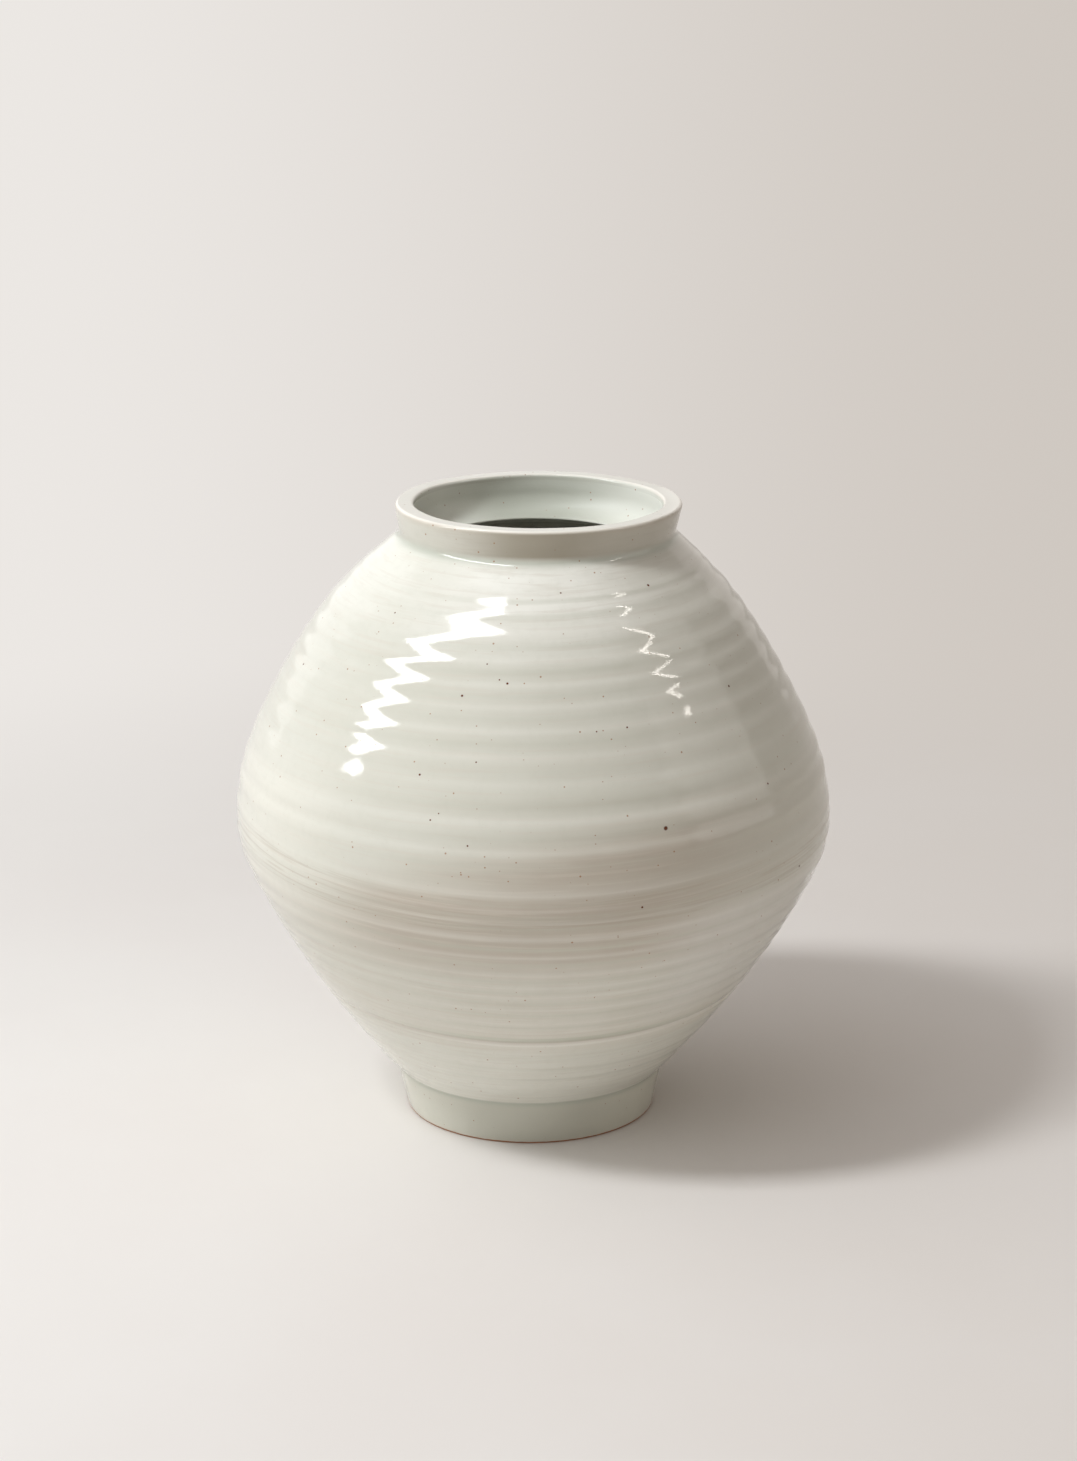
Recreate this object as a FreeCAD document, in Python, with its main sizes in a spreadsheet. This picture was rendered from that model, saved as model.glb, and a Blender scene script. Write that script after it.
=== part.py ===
import FreeCAD, Part
import math
import os
import re

import Sketcher

# Moon jar: two porcelain bowls thrown apart and luted rim to rim at the waist, with a collar luted
# on the upper bowl and a foot ring under the lower one. Millimetres, +Z up, origin at the centre of
# the face that the foot ring rests on.

SIZES = {
    # The whole jar
    "jar_height": 450.0,
    "seam_height": 222.0,
    "belly_radius": 212.8,
    "wall_thickness": 9.0,
    "slip_thickness": 1.0,
    # Potter's marks on the outside of the bowls
    "upper_finger_radius": 62.0,
    "lower_finger_radius": 110.0,
    "turning_tool_radius": 14.0,
    # Lower bowl
    "floor_thickness": 14.0,
    # Waist joint
    "tongue_height": 3.5,
    "coil_height": 22.0,
    "coil_depth": 7.0,
    # Collar and the ledge under it
    "collar_height": 26.0,
    "collar_bore": 87.7,
    "collar_wall": 9.3,
    "lip_width": 13.6,
    "lip_edge": 2.2,
    "bead_width": 5.0,
    "bead_height": 4.0,
    "ledge_width": 19.7,
    "ledge_dip": 2.0,
    "ledge_edge": 4.0,
    # Foot ring
    "foot_height": 33.0,
    "foot_radius": 97.0,
    "foot_taper": 6.9,
    "foot_edge": 2.4,
    "foot_wall": 15.0,
}

# Crests of the throwing rings, as shares of a bowl's own reach and rise: reach runs from the foot
# or the shoulder, 0, to the belly, 1, and rise from the bottom of that bowl, 0, to its top, 1.
FOOT_RING_SHARES = [(0.146, 0.101), (0.307, 0.218)]
TOOL_LINE_SHARE = (0.445, 0.329)
LOWER_RING_SHARES = [
    (0.514, 0.387),
    (0.607, 0.472),
    (0.709, 0.573),
    (0.807, 0.679),
    (0.912, 0.801),
    (0.985, 0.918),
]
UPPER_RING_SHARES = [
    (0.977, 0.144),
    (0.932, 0.241),
    (0.860, 0.340),
    (0.784, 0.427),
    (0.707, 0.509),
    (0.616, 0.598),
    (0.514, 0.687),
    (0.391, 0.782),
    (0.242, 0.876),
    (0.125, 0.938),
]

# Points of the inside walls: the reach and rise of the outside point that each stands behind, and
# how far it lies inward from there and towards the middle of the jar, in wall thicknesses.
LOWER_INSIDE_SHARES = [
    (0.918, 0.804, 0.85, 0.43),
    (0.739, 0.603, 0.83, 0.47),
    (0.537, 0.407, 0.85, 0.59),
    (0.294, 0.206, 0.92, 0.77),
    (0.125, 0.090, 1.08, 1.04),
]
UPPER_INSIDE_SHARES = [
    (0.125, 0.938, 0.62, 0.64),
    (0.426, 0.757, 0.71, 0.54),
    (0.632, 0.584, 0.77, 0.45),
    (0.814, 0.396, 0.80, 0.39),
    (0.948, 0.213, 0.86, 0.24),
]
BELLY_CURVE_SHARE = 0.74
COIL_FLAT_SHARE = 0.3

# Places that several pieces share, as formulas of the sizes above.
LOWER_RISE = "(seam_height - slip_thickness / 2 - foot_height)"
UPPER_RISE = "(jar_height - collar_height - seam_height - slip_thickness / 2)"
RIM_BORE = "(belly_radius - wall_thickness)"
RIM_MIDDLE = "(belly_radius - wall_thickness / 2)"
COLLAR_FOOT = "(collar_bore + collar_wall)"
SHOULDER = "(collar_bore + collar_wall + bead_width)"
MOUTH = "(collar_bore - ledge_width)"
FOOT_REST = "(foot_radius - foot_taper)"
FOOT_BORE = "(foot_radius - foot_taper - foot_wall)"
BEAD_TOP = "(slip_thickness + bead_height)"

doc = FreeCAD.newDocument("moon_jar")
sheet = doc.addObject("Spreadsheet::Sheet", "Sizes")
for row, (alias, size) in enumerate(SIZES.items(), start=1):
    sheet.set(f"A{row}", alias)
    sheet.set(f"B{row}", str(size))
    sheet.setAlias(f"B{row}", alias)
doc.recompute()


def bound(formula):
    """The formula with the name of each size pointed at its cell in the sheet."""
    return re.sub(r"[a-z]\w+", lambda word: "Sizes." + word[0] if word[0] in SIZES else word[0], formula)


def line(radius, height):
    """A corner of an outline with a straight run to the next corner."""
    return radius, height, None, 0


def hollow(radius, height, curve):
    """A corner followed by an arc that bows into the clay."""
    return radius, height, curve, -1


def swell(radius, height, curve):
    """A corner followed by an arc that bows out of the clay."""
    return radius, height, curve, 1


def arc_between(start, end, curve, side):
    """The arc of that radius between two points, bowed to the right of the way for side 1."""
    way = end - start
    sagitta = curve - math.sqrt(curve**2 - (way.Length / 2) ** 2)
    right = FreeCAD.Vector(way.y, -way.x, 0).normalize()
    return Part.Arc(start, (start + end) / 2 + right * sagitta * side, end)


def turned_piece(label, level, corners):
    """A body turned round the jar's axis, from its half section at that level.

    The corners go anticlockwise round the clay, each with its radius and its height above the level.
    """
    body = doc.addObject("PartDesign::Body", label)
    body.Label = label
    body.setExpression("Placement.Base.z", bound(level))
    sketch = body.newObject("Sketcher::SketchObject", label + "_section")
    plane = next(item for item in body.Origin.OriginFeatures if item.Role == "XZ_Plane")
    sketch.AttachmentSupport = [(plane, "")]
    sketch.MapMode = "FlatFace"

    def value(formula):
        return float(sketch.evalExpression(bound(formula)))

    def hold(constraint, formula):
        index = sketch.addConstraint(constraint)
        sketch.setExpression(f"Constraints[{index}]", bound(formula))

    points = [FreeCAD.Vector(value(radius), value(height), 0) for radius, height, _, _ in corners]
    ends = []
    for index, (radius, height, curve, side) in enumerate(corners):
        start = points[index]
        end = points[(index + 1) % len(points)]
        if curve is None:
            edge = sketch.addGeometry(Part.LineSegment(start, end), False)
        else:
            edge = sketch.addGeometry(arc_between(start, end, value(curve), side), False)
            hold(Sketcher.Constraint("Radius", edge, value(curve)), curve)
        turned_round = sketch.getPoint(edge, 1).distanceToPoint(start) > sketch.getPoint(edge, 2).distanceToPoint(start)
        ends.append((edge, 2, 1) if turned_round else (edge, 1, 2))
    for index, (radius, height, curve, side) in enumerate(corners):
        edge, first, _ = ends[index]
        before, _, last = ends[index - 1]
        sketch.addConstraint(Sketcher.Constraint("Coincident", before, last, edge, first))
        if value(radius) == 0:
            sketch.addConstraint(Sketcher.Constraint("PointOnObject", edge, first, -2))
        else:
            hold(Sketcher.Constraint("DistanceX", -1, 1, edge, first, value(radius)), radius)
        if value(height) == 0:
            sketch.addConstraint(Sketcher.Constraint("PointOnObject", edge, first, -1))
        else:
            hold(Sketcher.Constraint("DistanceY", -1, 1, edge, first, value(height)), height)
    turn = body.newObject("PartDesign::Revolution", label + "_turn")
    turn.Profile = sketch
    turn.ReferenceAxis = (sketch, ["V_Axis"])
    turn.Angle = 360
    sketch.Visibility = False
    return body


def between(low, high, share):
    """The formula of a place that share of the way from low to high."""
    return f"({low} + ({high} - {low}) * {share})"


def ring_crests(inner_radius, rise, shares, curve):
    """Corners on the crests of throwing rings, with a finger's hollow after each."""
    return [
        hollow(between(inner_radius, "belly_radius", reach), f"{rise} * {share}", curve)
        for reach, share in shares
    ]


def inside_points(inner_radius, rise, shares, way):
    """Corners of an inside wall, each set back from the outside towards the middle of the jar."""
    return [
        line(
            f"{between(inner_radius, 'belly_radius', reach)} - wall_thickness * {inward}",
            f"{rise} * {share} {way} wall_thickness * {along}",
        )
        for reach, share, inward, along in shares
    ]


def foot_ring():
    """The tapered ring that the jar stands on, with its edges softened where it rests."""
    return turned_piece(
        "foot_ring",
        "0",
        [
            line(f"{FOOT_BORE} + foot_edge", "0"),
            line(f"{FOOT_REST} - foot_edge", "0"),
            line(FOOT_REST, "foot_edge"),
            line("foot_radius", "foot_height - slip_thickness"),
            line(FOOT_BORE, "foot_height - slip_thickness"),
            line(FOOT_BORE, "foot_edge"),
        ],
    )


def foot_slip():
    """The layer of slip that lutes the foot ring to the lower bowl."""
    return turned_piece(
        "foot_slip",
        "foot_height - slip_thickness",
        [
            line(FOOT_BORE, "0"),
            line("foot_radius", "0"),
            line("foot_radius", "slip_thickness"),
            line(FOOT_BORE, "slip_thickness"),
        ],
    )


def lower_bowl():
    """The lower bowl, thick at its floor, with a tongue round its rim for the waist joint."""
    corners = [
        line("0", "0"),
        hollow("foot_radius", "0", "lower_finger_radius"),
    ]
    corners += ring_crests("foot_radius", LOWER_RISE, FOOT_RING_SHARES, "lower_finger_radius")
    # The deep line that the turning tool left above the foot
    corners += ring_crests("foot_radius", LOWER_RISE, [TOOL_LINE_SHARE], "turning_tool_radius")
    corners += ring_crests("foot_radius", LOWER_RISE, LOWER_RING_SHARES, "lower_finger_radius")
    corners += [
        line("belly_radius", LOWER_RISE),
        line(RIM_MIDDLE, f"{LOWER_RISE} + tongue_height"),
        line(RIM_BORE, LOWER_RISE),
        line(RIM_BORE, f"{LOWER_RISE} + slip_thickness / 2 - coil_height / 2"),
    ]
    corners += inside_points("foot_radius", LOWER_RISE, LOWER_INSIDE_SHARES, "+")
    corners += [
        line(FOOT_BORE, "floor_thickness"),
        line("0", "floor_thickness"),
    ]
    return turned_piece("lower_bowl", "foot_height", corners)


def waist_slip():
    """The folded layer of slip between the tongue of the lower rim and the groove of the upper."""
    return turned_piece(
        "waist_slip",
        "seam_height - slip_thickness / 2",
        [
            line(RIM_BORE, "0"),
            line(RIM_MIDDLE, "tongue_height"),
            line("belly_radius", "0"),
            line("belly_radius", "slip_thickness"),
            line(RIM_MIDDLE, "tongue_height + slip_thickness"),
            line(RIM_BORE, "slip_thickness"),
        ],
    )


def waist_coil():
    """The roll of clay pressed over the seam on the inside, flat against both bowls."""
    return turned_piece(
        "waist_coil",
        "seam_height - coil_height / 2",
        [
            line(f"{RIM_BORE} - coil_depth", f"coil_height * {COIL_FLAT_SHARE}"),
            line(RIM_BORE, "0"),
            line(RIM_BORE, "coil_height"),
            line(f"{RIM_BORE} - coil_depth", f"coil_height * (1 - {COIL_FLAT_SHARE})"),
        ],
    )


def upper_bowl():
    """The upper bowl, grooved round its rim, closing to a ledge that carries the collar."""
    ledge_end = f"({MOUTH} + ledge_edge)"
    ledge_top = f"({UPPER_RISE} - ledge_dip)"
    corners = [
        line(RIM_BORE, "0"),
        line(RIM_MIDDLE, "tongue_height"),
        swell("belly_radius", "0", f"belly_radius * {BELLY_CURVE_SHARE}"),
    ]
    corners += ring_crests(SHOULDER, UPPER_RISE, UPPER_RING_SHARES, "upper_finger_radius")
    corners += [
        line(SHOULDER, UPPER_RISE),
        line("collar_bore", UPPER_RISE),
        line(ledge_end, ledge_top),
        line(MOUTH, f"{ledge_top} - ledge_edge"),
        line(ledge_end, f"{ledge_top} - 2 * ledge_edge"),
    ]
    corners += inside_points(SHOULDER, UPPER_RISE, UPPER_INSIDE_SHARES, "-")
    corners += [line(RIM_BORE, "coil_height / 2 - slip_thickness / 2")]
    return turned_piece("upper_bowl", "seam_height + slip_thickness / 2", corners)


def neck_slip():
    """The layer of slip under the collar, with the bead that rounds off the corner outside it."""
    return turned_piece(
        "neck_slip",
        "jar_height - collar_height",
        [
            line("collar_bore", "0"),
            line(SHOULDER, "0"),
            line(COLLAR_FOOT, BEAD_TOP),
            line(COLLAR_FOOT, "slip_thickness"),
            line("collar_bore", "slip_thickness"),
        ],
    )


def neck_collar():
    """The short collar, flared outside to a flat lip with softened edges."""
    collar_rise = "(collar_height - slip_thickness)"
    lip_radius = "(collar_bore + lip_width)"
    return turned_piece(
        "neck_collar",
        "jar_height - collar_height + slip_thickness",
        [
            line("collar_bore", "0"),
            line(COLLAR_FOOT, "0"),
            line(COLLAR_FOOT, "bead_height"),
            line(lip_radius, f"{collar_rise} - lip_edge"),
            line(f"{lip_radius} - lip_edge", collar_rise),
            line("collar_bore + lip_edge", collar_rise),
            line("collar_bore", f"{collar_rise} - lip_edge"),
        ],
    )


pieces = [
    foot_ring(),
    foot_slip(),
    lower_bowl(),
    waist_slip(),
    waist_coil(),
    upper_bowl(),
    neck_slip(),
    neck_collar(),
]
doc.recompute()

for item in doc.Objects:
    if "Invalid" in item.State or "Error" in item.State:
        raise RuntimeError(f"{item.Label} did not build: {item.State}")
for piece in pieces:
    if piece.Shape.isNull() or not piece.Shape.isValid() or len(piece.Shape.Solids) != 1:
        raise RuntimeError(f"{piece.Label} is not one valid solid")

os.makedirs("parts", exist_ok=True)
for piece in pieces:
    piece.Shape.exportStep(f"parts/{piece.Label}.step")
    box = piece.Shape.optimalBoundingBox()
    print(f"{piece.Label}: {piece.Shape.Volume:.0f} mm3, from z {box.ZMin:.1f} to {box.ZMax:.1f} mm")
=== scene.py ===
import math
from types import SimpleNamespace

import bpy
import numpy as np
from mathutils import Matrix, Vector


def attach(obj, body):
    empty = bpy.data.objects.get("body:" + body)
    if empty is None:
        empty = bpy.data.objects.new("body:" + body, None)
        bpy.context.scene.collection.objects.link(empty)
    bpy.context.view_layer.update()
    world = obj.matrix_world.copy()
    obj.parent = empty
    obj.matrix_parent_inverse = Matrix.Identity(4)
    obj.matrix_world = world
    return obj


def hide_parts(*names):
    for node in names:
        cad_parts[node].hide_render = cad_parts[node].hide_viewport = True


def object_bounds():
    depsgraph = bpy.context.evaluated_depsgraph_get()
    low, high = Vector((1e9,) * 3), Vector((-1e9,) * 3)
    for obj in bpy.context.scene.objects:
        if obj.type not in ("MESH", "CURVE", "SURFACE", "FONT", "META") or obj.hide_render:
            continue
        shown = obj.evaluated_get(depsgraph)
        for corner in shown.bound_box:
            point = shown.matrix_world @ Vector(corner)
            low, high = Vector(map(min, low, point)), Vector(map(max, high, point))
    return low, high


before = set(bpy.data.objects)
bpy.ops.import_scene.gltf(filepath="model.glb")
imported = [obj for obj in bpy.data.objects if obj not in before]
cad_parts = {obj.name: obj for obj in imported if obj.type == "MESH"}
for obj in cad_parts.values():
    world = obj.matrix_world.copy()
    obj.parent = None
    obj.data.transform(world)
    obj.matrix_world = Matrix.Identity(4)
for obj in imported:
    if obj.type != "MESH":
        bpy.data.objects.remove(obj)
cad_low, cad_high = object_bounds()

# Lengths are in millimetres up to the meshes, which are in metres. Angles round the jar start at the
# front and grow towards +X, and every ring has the same number of points.
MM = 0.001
AROUND = 384
ANGLE = np.arange(AROUND) * (2 * math.pi / AROUND)
TINY = 1e-12

# The jar's main sizes, from the CAD in the frame
JAR_HEIGHT = round((cad_high[2] - cad_low[2]) / MM, 1)
BELLY_RADIUS = round((cad_high[1] - cad_low[1]) / 2 / MM, 1)

# Camera, solved from the level ellipses of the lip and the foot. Its pitch is in degrees.
CAMERA_PLACE = (3.8, -2449.85, 987.96)
CAMERA_PITCH = 16.094
FOCAL_PIXELS = 3558.5
LONG_SIDE_PIXELS = 1461
SENSOR_WIDTH = 36.0
FARTHEST_SEEN = 200000.0


def add_camera():
    data = bpy.data.cameras.new("camera")
    data.sensor_fit = "AUTO"
    data.sensor_width = SENSOR_WIDTH
    data.lens = FOCAL_PIXELS / LONG_SIDE_PIXELS * SENSOR_WIDTH
    data.clip_end = FARTHEST_SEEN * MM
    camera = bpy.data.objects.new("camera", data)
    camera.location = [value * MM for value in CAMERA_PLACE]
    camera.rotation_euler = (math.radians(90 - CAMERA_PITCH), 0, 0)
    bpy.context.scene.collection.objects.link(camera)
    bpy.context.scene.camera = camera


add_camera()


# Curves and waves
def spline(knots):
    """A natural cubic through the (x, y) knots, as a function."""
    x, y = (np.array(column, float) for column in zip(*knots))
    gap = np.diff(x)
    count = len(x)
    matrix = np.eye(count)
    right = np.zeros(count)
    for i in range(1, count - 1):
        matrix[i, i - 1:i + 2] = gap[i - 1], 2 * (gap[i - 1] + gap[i]), gap[i]
        right[i] = 6 * ((y[i + 1] - y[i]) / gap[i] - (y[i] - y[i - 1]) / gap[i - 1])
    bend = np.linalg.solve(matrix, right)

    def value(at):
        at = np.asarray(at, float)
        i = np.clip(np.searchsorted(x, at) - 1, 0, count - 2)
        a = (x[i + 1] - at) / gap[i]
        b = 1 - a
        curve = (a**3 - a) * bend[i] + (b**3 - b) * bend[i + 1]
        return a * y[i] + b * y[i + 1] + curve * gap[i] ** 2 / 6

    return value


def smooth_step(low, high, at):
    share = np.clip((np.asarray(at, float) - low) / (high - low), 0, 1)
    return share * share * (3 - 2 * share)


def within(at, rise, fall):
    """1 between two smooth borders: it grows over the first span and goes over the second."""
    return smooth_step(*rise, at) * (1 - smooth_step(*fall, at))


def bell(at, middle, reach):
    return np.exp(-((at - middle) / reach) ** 2)


def waves(angle, height, depth, seed, count, cycles, pitch):
    """Seeded ripples of that depth: whole cycles round the jar, and a pitch up it."""
    rng = np.random.default_rng(seed)
    total = 0
    for _ in range(count):
        turns = rng.integers(cycles[0], cycles[1] + 1)
        climb = 2 * math.pi / rng.uniform(*pitch) * rng.choice((-1, 1))
        total = total + np.cos(turns * angle + climb * height + rng.uniform(0, 2 * math.pi))
    return depth * total / math.sqrt(count / 2)


def unit(vectors):
    return vectors / np.maximum(np.linalg.norm(vectors, axis=-1, keepdims=True), TINY)


# Heights and radii that several pieces go by
FOOT_TOP = 33
FLOOR_INSIDE = 47
SEAM = 223.0
WALL_TOP = 424
WALL_THICKNESS = 9.0
INSIDE_RADIUS = BELLY_RADIUS - WALL_THICKNESS
FOOT_BORE = 75.1
NECK_BORE = 87.7

# Shape of the jar: radius of its outside and sideways shift of its middle, over height
OUTSIDE = spline([
    (FOOT_TOP, 97), (46, 109), (60, 120.8), (72, 130.9), (85, 141.1), (97, 150.0), (110, 159.2),
    (135, 175.5), (160, 190), (180, 200.6), (200, 209), (212, 212.1), (SEAM, BELLY_RADIUS), (240, 211.9),
    (265, 207), (290, 197.8), (315, 185.6), (340, 172), (365, 156.3), (385, 141.4), (400, 127.8),
    (412, 115.2), (WALL_TOP, 102), (428, 97.7),
])
DRIFT = spline([
    (0, -2.1), (38, -2.4), (80, -1.4), (120, -0.6), (200, 0.3), (280, -0.3), (340, -0.4), (400, 0.9),
    (425, 2.6), (JAR_HEIGHT, 3.7),
])

# Flanks of the throwing rings on the front of the jar: height, and slope of the wall there, out (+)
# or in (-) going up. The steep pair near 100 is the incised line.
FLANKS = [
    (34, 0), (45, 0.02), (52, -0.03), (56.8, -0.04), (61.5, 0.05), (64.9, -0.05), (72.7, 0.05),
    (76, -0.05), (85.5, 0.04), (91, 0.0), (96.5, -0.05), (98.6, -0.34), (100.4, -0.1), (101.6, 0.42),
    (103.6, 0.22), (106, 0.02), (111.1, -0.06), (116.1, 0.08), (119, -0.07), (127.7, 0.08),
    (132.5, -0.08), (138.1, 0.08), (144.6, -0.08), (148.3, 0.07), (152.8, -0.07), (158.3, 0.08),
    (163.6, -0.08), (173.4, 0.08), (179.5, -0.09), (186.5, 0.09), (195, -0.09), (204.5, 0.07),
    (208.3, -0.07), (214.2, 0.06), (219.9, -0.05), (223, 0.05), (229.6, -0.07), (247.2, 0.06),
    (256.4, -0.09), (265.4, 0.08), (276.1, -0.13), (285.3, 0.13), (299, -0.09), (306.5, 0.05),
    (315.5, -0.12), (323.5, 0.12), (331, -0.13), (338.5, 0.09), (345.5, -0.12), (351.8, 0.11),
    (358.6, -0.13), (366, 0.16), (372.5, -0.13), (380.5, 0.13), (389.6, -0.16), (397.4, 0.14),
    (402.8, -0.1), (406.3, 0.2), (409.4, -0.1), (414, -0.02), (WALL_TOP, 0),
]
FLANK_HEIGHT, FLANK_SLOPE = (np.array(column, float) for column in zip(*FLANKS))
RELIEF_STEP = 0.25
DRIFT_WINDOW = 40.0


def build_relief():
    """The rings' relief over height: the flanks' slopes added up, without their slow drift."""
    height = np.arange(FLANK_HEIGHT[0], FLANK_HEIGHT[-1] + RELIEF_STEP, RELIEF_STEP)
    relief = np.cumsum(np.interp(height, FLANK_HEIGHT, FLANK_SLOPE)) * RELIEF_STEP
    half = int(DRIFT_WINDOW / RELIEF_STEP / 2)
    kernel = np.hanning(2 * half + 1)
    padded = np.pad(relief, half, mode="edge")
    return height, relief - np.convolve(padded, kernel / kernel.sum(), mode="valid")


RING_HEIGHT, RING_RELIEF = build_relief()

UPPER_CLIMB = 2.88
LOWER_RISE = 8.0
WAIST_RISE = 4.0
SEAM_SAG = 3.0


def lean(angle, height):
    """How far a ring lies above its own height at the front: the upper ones climb to the right, and
    the lower ones rise to both sides. The seam sags at the front."""
    side = np.sin(angle)
    climb = UPPER_CLIMB * within(height, (215, 275), (395, WALL_TOP)) * (side + 0.8 * side**2)
    rise = LOWER_RISE * smooth_step(FOOT_TOP, 120, height) + WAIST_RISE * smooth_step(150, 215, height)
    rise = rise * (1 - smooth_step(215, 285, height)) * side**2
    sag = SEAM_SAG * bell(height, SEAM, reach=14) * np.cos(angle / 2) ** 8
    return climb + rise - sag


DEEPER_AT_WAIST = 0.6
DEEPER_AT_RIGHT = 0.12


def outside_wall(angle, row):
    """Radius and height on the outside wall, for rows named by their height at the front."""
    height = row + lean(angle, row)
    wall = within(row, (FOOT_TOP, 40), (412, 423))
    strength = 1.0 + waves(angle, row, depth=0.24, seed=11, count=9, cycles=(1, 4), pitch=(40, 160))
    strength = strength + DEEPER_AT_WAIST * within(row, (105, 130), (250, 275))
    strength = strength + DEEPER_AT_RIGHT * np.sin(angle)
    wander = waves(angle, row, depth=0.45, seed=12, count=8, cycles=(1, 3), pitch=(50, 160))
    radius = OUTSIDE(height)
    radius = radius + wall * strength * np.interp(row + wall * wander, RING_HEIGHT, RING_RELIEF)
    turning_lines = waves(angle, row, depth=0.035, seed=13, count=14, cycles=(0, 3), pitch=(2.6, 7.5))
    radius = radius + within(row, (FOOT_TOP, 38), (88, 104)) * turning_lines
    wiping_marks = waves(angle, row, depth=0.035, seed=14, count=16, cycles=(2, 14), pitch=(3.5, 12))
    radius = radius + bell(row, middle=205, reach=20) * wiping_marks
    soft_glaze = waves(angle, row, depth=0.03, seed=15, count=18, cycles=(4, 30), pitch=(10, 40))
    return radius + wall * soft_glaze, height


FINGER_RING_DEPTH = 0.55
FINGER_RING_PITCH = 17
FINGER_RING_LEAN = 5


def inside_relief(angle, height):
    """The finger rings on the inside of the bowls, which lean a little to one side."""
    turn = 2 * math.pi * (height + FINGER_RING_LEAN * np.sin(angle)) / FINGER_RING_PITCH
    turn = turn + waves(angle, height, depth=1.5, seed=21, count=5, cycles=(0, 2), pitch=(80, 200))
    dents = waves(angle, height, depth=0.15, seed=22, count=12, cycles=(1, 6), pitch=(12, 50))
    return FINGER_RING_DEPTH * np.cos(turn) + dents


def bend_all(angle, radius, height, base):
    """The slow unevenness of the whole jar, which every piece of it shares, as points."""
    oval = waves(angle, base, depth=0.0016, seed=31, count=6, cycles=(2, 3), pitch=(300, 900))
    radius = radius * (1 + smooth_step(0, 60, base) * oval)
    lip_dip = waves(angle, 0 * base, depth=0.35, seed=32, count=4, cycles=(2, 4), pitch=(500, 900))
    x = radius * np.sin(angle) + DRIFT(base)
    y = -radius * np.cos(angle)
    return np.stack([x, y, height - np.abs(smooth_step(400, JAR_HEIGHT, base) * lip_dip)], -1)


# The section as one line of rows
ARC_STEP = 6


def corner_arc(before, place, after, rounding):
    """Points of the arc that rounds off a corner between two straight runs."""
    back = unit(before - place)
    on = unit(after - place)
    half = math.acos(np.clip(back @ on, -1, 1)) / 2
    centre = place + unit(back + on) * rounding / math.sin(half)
    start = place + back * rounding / math.tan(half) - centre
    end = place + on * rounding / math.tan(half) - centre
    turn = math.pi - 2 * half
    cuts = max(3, int(math.degrees(turn) / ARC_STEP))
    shares = np.linspace(0, 1, cuts + 1)
    return [centre + (start * math.sin((1 - t) * turn) + end * math.sin(t * turn)) / math.sin(turn)
            for t in shares]


def rounded(corners, step):
    """Points along straight runs with rounded corners, each corner a (radius, height, rounding)."""
    places = [np.array(corner[:2], float) for corner in corners]
    line = []
    for i, (_, _, rounding) in enumerate(corners):
        if rounding == 0:
            line.append(places[i])
        else:
            line += corner_arc(places[i - 1], places[i], places[i + 1], rounding)
    dense = [line[0]]
    for point in line[1:]:
        start = dense[-1]
        cuts = max(1, int(round(np.linalg.norm(point - start) / step)))
        dense += [start + (point - start) * k / cuts for k in range(1, cuts + 1)]
    return np.array(dense)


def curved(points, step):
    """Points along a natural cubic through the corners, by its length."""
    points = np.array(points, float)
    along = np.concatenate([[0], np.cumsum(np.linalg.norm(np.diff(points, axis=0), axis=1))])
    at = np.linspace(0, along[-1], max(2, int(along[-1] / step)))
    return np.stack([spline(list(zip(along, points[:, k])))(at) for k in (0, 1)], -1)


# The jar's skin in order, from under the floor up the outside and down to the floor inside. Corners
# are (radius, height, rounding), and inside walls are (radius, height).
FOOT = [(0, FOOT_TOP, 0), (FOOT_BORE, FOOT_TOP, 1.6), (FOOT_BORE, 0, 2.4), (89.75, 0, 1.1),
        (97, FOOT_TOP, 2.2), (99.2, 35.1, 0)]
WALL_RUNS = [(35.8, 112, 0.7), (112, 216, 1.2), (216, 230, 0.8), (230, WALL_TOP, 1.2)]
COLLAR = [(101.3, 424.6, 0), (97.35, 428.25, 6.5), (101.5, JAR_HEIGHT, 2.4), (NECK_BORE, JAR_HEIGHT, 2.4),
          (NECK_BORE, 423.6, 15), (67.6, 421.9, 0.9), (73, 417.6, 2.5), (82, 412.4, 0)]
COIL_MIDDLE = 222
COIL_HALF_HEIGHT = 11
COIL_TOP = COIL_MIDDLE + COIL_HALF_HEIGHT
COIL_BOTTOM = COIL_MIDDLE - COIL_HALF_HEIGHT
COIL_DEPTH = 7.0
COIL_TURN = np.linspace(0, math.pi, 15)[1:-1]
COIL = [(INSIDE_RADIUS - COIL_DEPTH * math.sin(a) ** 0.7, COIL_MIDDLE + COIL_HALF_HEIGHT * math.cos(a))
        for a in COIL_TURN]
UPPER_INSIDE = [(83.5, 412.1), (98, 409.2), (110.2, 403.5), (142.8, 370.2), (165.1, 336), (185, 298.5),
                (199.3, 262.9), (INSIDE_RADIUS, COIL_TOP)]
LOWER_INSIDE = [(INSIDE_RADIUS, COIL_BOTTOM), (195.7, 188.9), (175.1, 151.2), (151.6, 115.3),
                (122.8, 78.9), (101.8, 59.4), (84, 50), (62, 47.2), (30, FLOOR_INSIDE), (6, FLOOR_INSIDE)]

rows = []      # (kind, radius, height) of each row
marks = {}     # name of a place on the skin -> number of its row


def add_rows(kind, points):
    """Adds points as rows, leaves out one that repeats the last, and gives the last row's number."""
    for radius, height in points:
        if rows and abs(rows[-1][1] - radius) + abs(rows[-1][2] - height) < 1e-6:
            continue
        rows.append((kind, float(radius), float(height)))
    return len(rows) - 1


def nearest_row(kind, radius, height):
    found = [i for i, row in enumerate(rows) if row[0] == kind]
    return min(found, key=lambda i: abs(rows[i][1] - radius) + abs(rows[i][2] - height))


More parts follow.
